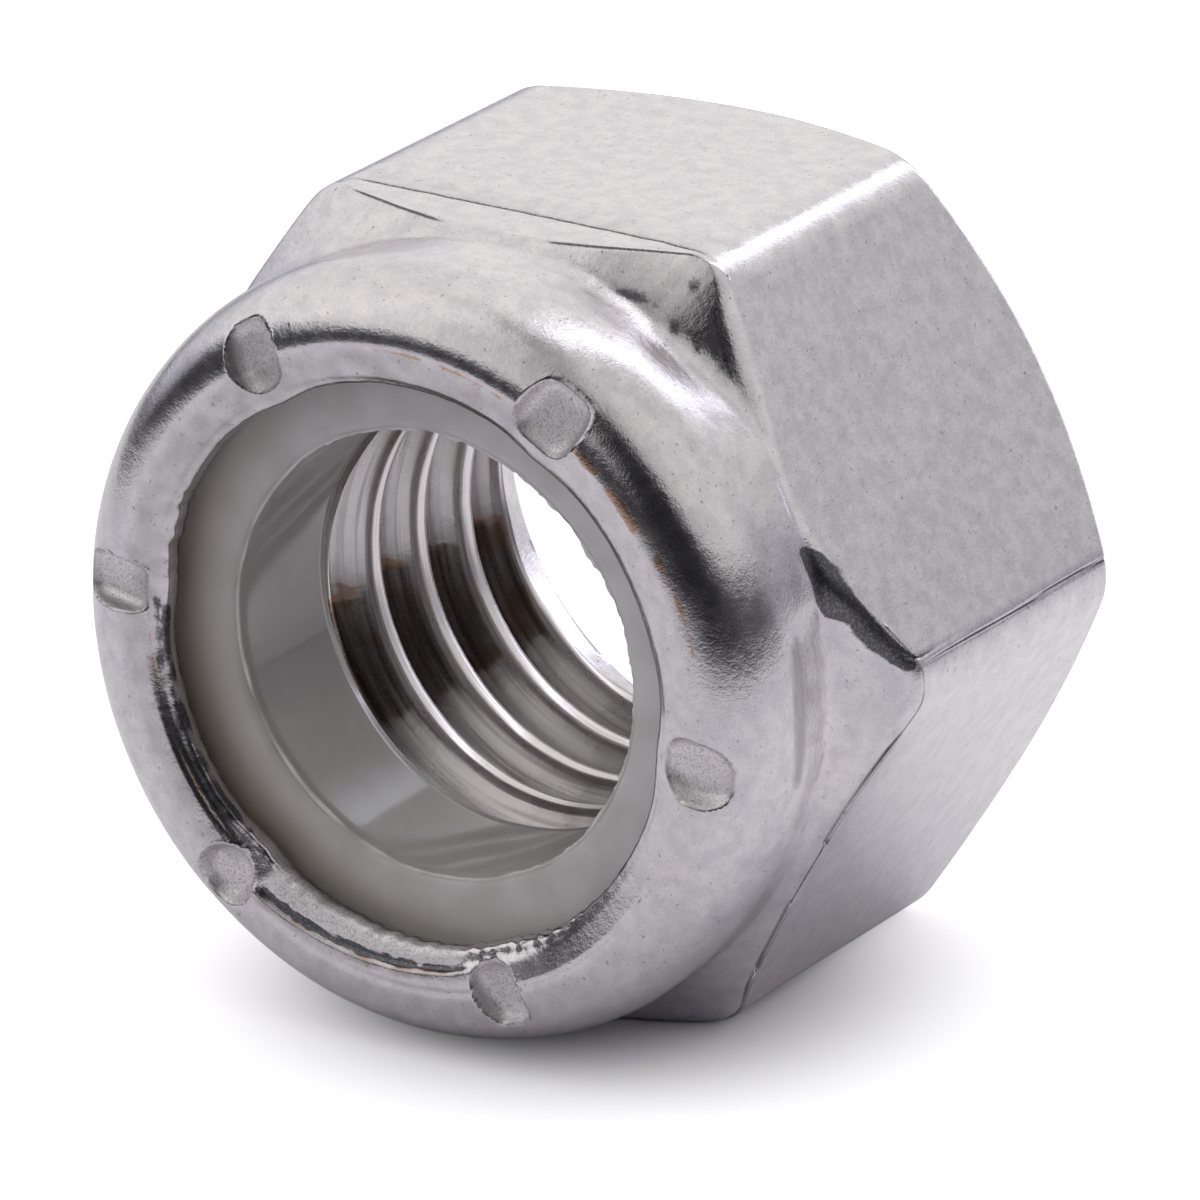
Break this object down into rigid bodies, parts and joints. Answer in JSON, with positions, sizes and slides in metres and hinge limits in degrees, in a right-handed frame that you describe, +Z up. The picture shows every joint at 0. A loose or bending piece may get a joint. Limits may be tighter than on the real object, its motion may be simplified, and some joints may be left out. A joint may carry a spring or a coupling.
{
  "type": "nylon insert lock nut",
  "caption": "Hexagonal stainless lock nut lying on a flat, its rolled and staked collar holding a nylon ring behind a right-hand thread.",
  "frame": {"origin": "on the floor under the middle of the nut, which lies on one of its flats", "axes": "+Y along the nut's axis, out of the bearing face; the rolled collar faces -Y; +Z up, square to the top flat"},
  "size_m": [0.0216, 0.0152, 0.0191],
  "materials": {
    "stainless_steel": "satin, tumbled",
    "nylon": "satin, slightly translucent"
  },
  "bodies": {
    "root": {"nut_body": "stainless_steel", "nylon_insert": "nylon"}
  },
  "joints": []
}
